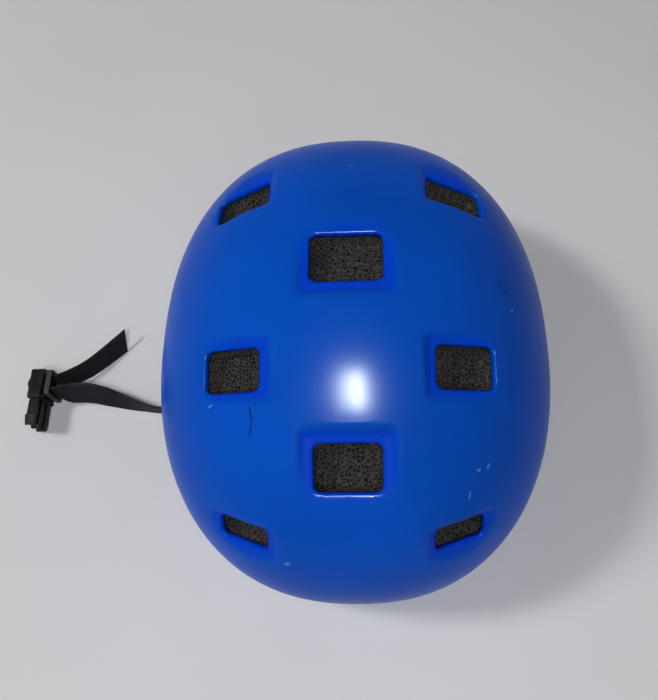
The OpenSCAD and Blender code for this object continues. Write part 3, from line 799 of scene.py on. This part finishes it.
# %% Pads
PAD_OFF = CAVITY_OFF - 1.4  # the hook patches lie between the liner and the pads
ARC_R = HALF_W - 25  # the fit cradle's arc
ARC_Y = HALF_L - 34.8 - ARC_R
CRADLE_IN = 3.8  # from the arc to the cradle's inner face
BROW_Z, SIDE_Y, SIDE_Z, NAPE_Z = 29, 2, 63, 19  # middles of the pads
COVER = PAD - 0.2  # thickness of the stuffed pads


def on_brow(u, v, depth):
    off, z = PAD_OFF - depth, BROW_Z + v
    inside = ring_share(z, off) ** PLAN_N - (abs(u) / (HALF_W + off)) ** PLAN_N
    return np.stack([u, -(HALF_L + off) * inside ** (1 / PLAN_N), z], -1)


def on_side(side):
    def rule(u, v, depth):
        off, y, z = PAD_OFF - depth, SIDE_Y + u, SIDE_Z + v
        inside = ring_share(z, off) ** PLAN_N - (abs(y) / (HALF_L + off)) ** PLAN_N
        return np.stack([side * (HALF_W + off) * inside ** (1 / PLAN_N), y, z], -1)
    return rule


def on_crown(u, v, depth):
    return np.stack([v, u, dome_z(v, u, PAD_OFF - depth)], -1)


def on_nape(u, v, depth):
    angle = math.pi / 2 + u / ARC_R
    r = ARC_R - CRADLE_IN - depth
    return np.stack([r * np.cos(angle), ARC_Y + r * np.sin(angle), NAPE_Z + v], -1)


cushion("brow_cushion", "brow_pad", on_brow, 45.6, 12.8, COVER, (-23, 0, 23))
cushion("crown_cushion", "crown_pad", on_crown, 38.6, 24.6, COVER, (-14, 14), 7.0)
for name, side in (("right", 1), ("left", -1)):
    cushion(f"{name}_side_cushion", f"{name}_side_pad", on_side(side), 35.6, 14.6, COVER, (-12, 12))
cushion("nape_cushion", "nape_pad", on_nape, 23.4, 9.8, 5.0, (-8, 8), 3.0)

# %% [markdown]
# ## Webbing
# The straps are flat woven polypropylene, 15 mm wide. A line is drawn through the strap's chosen points
# with the direction of its width at each, and a rounded flat section is carried along it. Real webbing
# has raised ribs across its width, so the section swells and shrinks every 1.3 mm.

# %% Webbing finish and helper
webbing_black = finish("black webbing", (0.006, 0.006, 0.007), 0.62, Sheen_Weight=0.04, Sheen_Roughness=0.35,
                       Specular_IOR_Level=0.12)
at = place(webbing_black)
yarn = pattern(webbing_black, "ShaderNodeTexNoise", at, Scale=1500.0, Detail=3.0)
fade = pattern(webbing_black, "ShaderNodeTexNoise", at, Scale=70.0, Detail=3.0)
web_tones = [(0.3, (0.004, 0.004, 0.005)), (0.75, (0.010, 0.010, 0.012))]
link(webbing_black, ramp(webbing_black, fade.outputs["Fac"], web_tones), base(webbing_black))
bump(webbing_black, yarn.outputs["Fac"], 0.35, 0.0002)
WEB_W, WEB_T, RIB = 15.0, 1.5, 1.3
RIB_STEPS = 6  # sections to each rib
VALLEY = 0.72  # the webbing's thickness between ribs, as a share of the whole
SLANT_RUN = 14  # a slanted end begins this far before it


def smooth_line(route, spacing):
    """Points on a smooth line through the route, and how far along the chosen points each one lies."""
    p = np.array(route, float)
    along = np.concatenate([[0], np.cumsum(np.linalg.norm(np.diff(p, axis=0), axis=1))])
    slope = np.gradient(p, along, axis=0)
    s = np.linspace(0, along[-1], int(along[-1] / spacing) + 1)
    k = np.clip(np.searchsorted(along, s, side="right") - 1, 0, len(p) - 2)
    span = (along[k + 1] - along[k])[:, None]
    h = ((s - along[k])[:, None]) / span
    line = ((1 + 2 * h) * (1 - h) ** 2 * p[k] + h * (1 - h) ** 2 * span * slope[k]
            + h**2 * (3 - 2 * h) * p[k + 1] + h**2 * (h - 1) * span * slope[k + 1])
    return line, s, along


def webbing(name, replaced, route, widths, cut=0.0):
    """cut is how far the end is slanted: its edges end that much before and after its middle."""
    line, s, along = smooth_line(route, RIB / RIB_STEPS)
    ahead = np.gradient(line, axis=0)
    ahead /= np.linalg.norm(ahead, axis=1, keepdims=True)
    across = np.column_stack([np.interp(s, along, np.array(widths, float)[:, k]) for k in range(3)])
    across -= (across * ahead).sum(1, keepdims=True) * ahead
    across /= np.linalg.norm(across, axis=1, keepdims=True)
    up = np.cross(ahead, across)
    real = np.concatenate([[0], np.cumsum(np.linalg.norm(np.diff(line, axis=0), axis=1))])
    rib = abs(np.sin(math.pi * real / RIB)) ** 0.7
    w = np.array([-1, -0.97, -0.88, -0.7, -0.35, 0, 0.35, 0.7, 0.88, 0.97])
    w = np.concatenate([w, -w])
    face = np.repeat([1, -1], len(w) // 2)
    half = WEB_T / 2 * (1 - abs(w) ** 6) ** 0.5 * face
    edge = 1 - 0.02 * (1 - rib)[:, None] * (abs(w) > 0.9)
    thick = VALLEY + (1 - VALLEY) * rib
    slant = cut * np.clip((real - real[-1] + SLANT_RUN) / SLANT_RUN, 0, 1)[:, None, None] * w[:, None]
    points = (line[:, None] + across[:, None] * (WEB_W / 2 * w * edge)[..., None]
              + up[:, None] * (half * thick[:, None])[..., None] + ahead[:, None] * slant)
    strap = add_mesh(name, points.reshape(-1, 3), capped_tube(len(line), len(w)), webbing_black)
    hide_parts(replaced)
    return strap, line, real[-1]


print("webbing section", WEB_W, "x", WEB_T)

# %% [markdown]
# ## Side straps
# Two straps come down each side between the shell and the liner, pass under the rim and run in to a
# divider below the ear. The route down the wall follows the dome.

# %% Side straps
RIVET_Z = 30
WALL_ROUTE_Z = (41, 34, 27, 20, 13)
STAND_OFF = 0.7  # the strap leaves the shell by this much on its way to the rim


def wall_angle(y):
    """Which way the wall faces at y, as an angle in plan."""
    x = wall_point(y, RIVET_Z, 0)[0]
    return math.atan2((abs(y) / HALF_L) ** (PLAN_N - 1) / HALF_L * (1 if y > 0 else -1),
                      (x / HALF_W) ** (PLAN_N - 1) / HALF_W)


def wall_point(y, z, off):
    x = tucked(z) * (HALF_W + off) * (1 - abs(y / (HALF_L + off)) ** PLAN_N) ** (1 / PLAN_N)
    return [float(x), y, z]


def level(degrees):
    """The level direction at this angle in plan."""
    return [math.cos(math.radians(degrees)), math.sin(math.radians(degrees)), 0]


WEB_OFF = -(WALL + 0.65 + WEB_T / 2)
FRONT = [[HALF_W - 8.7, -34.8, 7.5], [HALF_W - 12.5, -33, 3.4], [HALF_W - 18, -30, 1.6], [81, -24.5, 1.1],
         [73, -17.5, 1.1], [66, -10.5, 1.8], [60.5, -5.5, 2.2]]
FRONT_TURNS = (78, 70, 58, 52, 46, 46, 46)
REAR = [[HALF_W - 10.9, 44, 7.5], [HALF_W - 14.5, 41.5, 3.4], [HALF_W - 20, 37, 1.6], [80, 30, 1.1],
        [73, 22, 1.1], [66, 13, 1.8], [60.5, 7.5, 2.2]]
REAR_TURNS = (104, 114, 126, 132, 134, 134, 134)
STRAPS = ("front", RIVET_Y[0], FRONT, FRONT_TURNS), ("rear", RIVET_Y[1], REAR, REAR_TURNS)
for part, y, free, turns in STRAPS:
    wall = [wall_point(y, z, WEB_OFF - (STAND_OFF if z < 20 else 0)) for z in WALL_ROUTE_Z]
    widths = [level(math.degrees(wall_angle(y)) + 90)] * len(wall) + [level(a) for a in turns]
    for side, x in (("right", 1), ("left", -1)):
        mirror = [x, 1, 1]
        webbing(f"{side}_{part}_webbing", f"{side}_{part}_strap", (np.array(wall + free) * mirror).tolist(),
                (np.array(widths) * mirror).tolist())

# %% [markdown]
# ## Chin straps
# The right one is a short fixed tab that ends in the buckle's female half. The left one is free: it
# lies out over the table, twists onto its edge, goes round the bar of the buckle's male half and comes
# back through a keeper to a cut end.

# %% Chin straps
RIGHT_ROUTE = [[52, 0, 5.4], [44, 0, 5.4], [36, -0.6, 3.6], [29, -1.4, 3.6], [22, -2, 5.2], [16.5, -2, 5.2]]
webbing("right_chin_webbing", "right_chin_strap", RIGHT_ROUTE, [[0, 1, 0]] * len(RIGHT_ROUTE))
LEFT_ROUTE = [
    [-52, 0, 5.4], [-64, 0, 5.4], [-76, -4, 5.8], [-88, -8.5, 6.6], [-100, -13, 7.4], [-112, -15.6, 8],
    [-124, -16, 8], [-136, -13.5, 7.6], [-148, -10, 7.2], [-160, -6.5, 7.4], [-172, -4, 8], [-183, -4.2, 9],
    [-191, -4.5, 10.4], [-198, -4.5, 10.4], [-203, -4.5, 10.4], [-206.6, -4.1, 10.4], [-208.4, -2.2, 10.4],
    [-208.8, 0, 10.4], [-208.4, 2.2, 10.4], [-206.6, 4.1, 10.4], [-203, 4.5, 10.4], [-198, 4.5, 10.4],
    [-191, 4.7, 10.4], [-183, 7.5, 9.4], [-175, 12.5, 8.4], [-168, 19, 7.2], [-160.5, 26.5, 6.4],
    [-153.5, 33.5, 6],
]
# how far the strap's width leans from upright at each point, seen along the strap: 90 is flat, 180 on edge
LEFT_LEAN = [90, 92, 108, 134, 158, 172, 177, 187, 204, 219, 222, 220, 192, *[180] * 9,
             188, 200, 205, 209, 214, 219]
END_SLANT = -4.0
lean = [[0, math.sin(math.radians(a)), math.cos(math.radians(a))] for a in LEFT_LEAN]
chin, line, length = webbing("left_chin_webbing", "left_chin_strap", LEFT_ROUTE, lean, END_SLANT)
[c * MM for c in LEFT_ROUTE[0]]
print(f"left chin strap {length:.1f} mm")

# %% [markdown]
# ## Rivets
# A rivet is turned on a lathe, so it is one profile spun round its axis: a flanged tail inside, a
# shank, and a low domed head. Each stands square to the wall, whose lean follows from how the dome
# tucks in below its widest height. The head's edge is sunk a little, so that it meets the plastic.

# %% Rivets
RIVET_STEPS = 40
HEAD_R, HEAD_H = 5, 1.4
# radius and distance out from the wall, from the tail to the head
TAIL = [(0.5, -7.4), (2.8, -7.4), (3.0, -7.2), (3.0, -6.8), (2.8, -6.6), (2.0, -6.6), (2.0, -0.5),
        (4.9, -0.4)]
HEAD = [(HEAD_R * math.cos(math.radians(a)), HEAD_H * math.sin(math.radians(a))) for a in range(0, 85, 8)]
PROFILE = TAIL + HEAD


def spun(foot, out):
    """The rivet's rings of points, round the axis that leaves the wall at foot in the direction out."""
    flat = np.cross([0, 0, 1], out)
    flat /= np.linalg.norm(flat)
    spin = np.linspace(0, 2 * math.pi, RIVET_STEPS, endpoint=False)[:, None]
    around = np.cos(spin) * flat + np.sin(spin) * np.cross(out, flat)
    return [foot + out * h + r * around for r, h in PROFILE]


rivet_points, rivet_faces = [], []
for mirror in ([1, 1, 1], [-1, 1, 1]):
    for y in RIVET_Y:
        foot = np.array(wall_point(y, RIVET_Z, 0))
        lean_in = 2 * TUCK * (WIDEST - RIVET_Z) / WIDEST**2 * foot[0] / tucked(RIVET_Z)
        out = np.array(level(math.degrees(wall_angle(y)))) - [0, 0, lean_in]
        rivet_faces += capped_tube(len(PROFILE), RIVET_STEPS, len(rivet_points) * RIVET_STEPS)
        rivet_points += spun(foot * mirror, out * mirror / np.linalg.norm(out))
rivets = add_mesh("rivets", np.vstack(rivet_points), rivet_faces, steel, weighted=True)
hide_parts("strap_rivets")

# %% [markdown]
# ## Moulded and turned pieces
# The buckle, dividers, fit dial, bands, washers and pin keep their CAD shapes. Each has its doubled
# points merged, its edges rounded as a mould leaves them, and its own finish.

# %% Finishes on the CAD pieces
CAD_PIECES = {
    acetal: ("left_strap_divider", "right_strap_divider", "buckle_male_frame", "buckle_upper_prong",
             "buckle_lower_prong", "buckle_female"),
    dial_nylon: ("dial_housing", "dial_knob", "band_clips"),
    pale_nylon: ("dial_pinion", "ratchet_ring"),
    band_black: ("left_fit_band", "right_fit_band", "cradle_hanger", "hanger_pin"),
    keeper_grey: ("strap_keeper",),
    steel: ("rivet_washers",),
    hook_tape: ("hook_patches",),
}
THIN = ("left_fit_band", "right_fit_band", "hook_patches", "dial_pinion", "ratchet_ring", "cradle_hanger")
EDGE, THIN_EDGE, SHARP = 0.35, 0.15, 40  # edge rounding of thick and thin pieces, and what counts as an edge
for material, names in CAD_PIECES.items():
    for name in names:
        piece = nodes[name]
        for slot in piece.material_slots:
            slot.material = material
        piece.modifiers.new("merge doubles", "WELD").merge_threshold = 1e-5
        soften = piece.modifiers.new("moulded edges", "BEVEL")
        soften.width, soften.segments = (THIN_EDGE if name in THIN else EDGE) * MM, 2
        soften.limit_method, soften.angle_limit = "ANGLE", math.radians(SHARP)
print(sum(len(n) for n in CAD_PIECES.values()), "CAD pieces finished")

# %% [markdown]
# ## Table and light
# The key lamp, on the left, makes the shadow on the right. The second lamp lights the brow and the
# crown from the front. A narrow third one is seen only in the gloss, as the small bright streak on the
# crown. The room is brighter near the horizon than overhead, which keeps the shell's top a deep blue.

# %% Floor and light
FLOOR_TONES = (0.645, 0.64, 0.65), (0.68, 0.675, 0.685)
HALF_FLOOR = 3
HORIZON, ZENITH = (0.34, 0.34, 0.355), (0.10, 0.10, 0.105)
STREAK_TONE = (0.82, 0.92, 1.0)
floor_finish = finish("pale table", (0.66, 0.655, 0.665), 0.6, Specular_IOR_Level=0.05)
haze = pattern(floor_finish, "ShaderNodeTexNoise", place(floor_finish), Scale=5.0, Detail=5.0)
floor_tone = ramp(floor_finish, haze.outputs["Fac"], [(0.3, FLOOR_TONES[0]), (0.7, FLOOR_TONES[1])])
link(floor_finish, floor_tone, base(floor_finish))
mesh = bpy.data.meshes.new("floor")
corners = [(x * HALF_FLOOR, y * HALF_FLOOR, 0) for x, y in ((-1, -1), (1, -1), (1, 1), (-1, 1))]
mesh.from_pydata(corners, [], [(0, 1, 2, 3)])
mesh.materials.append(floor_finish)
floor = bpy.data.objects.new("floor", mesh)
bpy.context.collection.objects.link(floor)
room = bpy.data.worlds.new("room")
bpy.context.scene.world = room
room.use_nodes = True
direction = node(room, "ShaderNodeTexCoord")
height = node(room, "ShaderNodeSeparateXYZ")
link(room, direction.outputs["Generated"], height.inputs[0])
background = room.node_tree.nodes["Background"]
link(room, ramp(room, height.outputs["Z"], [(0, HORIZON), (1, ZENITH)]), background.inputs["Color"])
background.inputs["Strength"].default_value = 1.0


def lamp(name, at, to, size, power, glossy=True, diffuse=True, colour=(1, 1, 1)):
    """A rectangular lamp at one point, turned towards another. Sizes are in metres, power in watts."""
    data = bpy.data.lights.new(name, "AREA")
    data.shape, data.size, data.size_y = "RECTANGLE", *size
    data.energy, data.color = power, colour
    made = bpy.data.objects.new(name, data)
    made.location = at
    made.rotation_mode = "QUATERNION"
    made.rotation_quaternion = (Vector(to) - Vector(at)).to_track_quat("-Z", "Y")
    made.visible_glossy, made.visible_diffuse = glossy, diffuse
    bpy.context.collection.objects.link(made)


lamp("key", (-1.6, 0.1, 1.9), (0, 0, 0.08), (0.38, 0.38), 25, glossy=False)
lamp("overhead", (0.03, -0.5, 1.1), (0, 0, 0.1), (0.3, 0.3), 5.2, glossy=False)
lamp("streak", (0.02, -0.43, 1.5), (0, 0, 0.15), (0.09, 0.37), 88, diffuse=False, colour=STREAK_TONE)
bpy.context.scene.view_settings.view_transform = "Standard"
print("floor, room and lamps made")
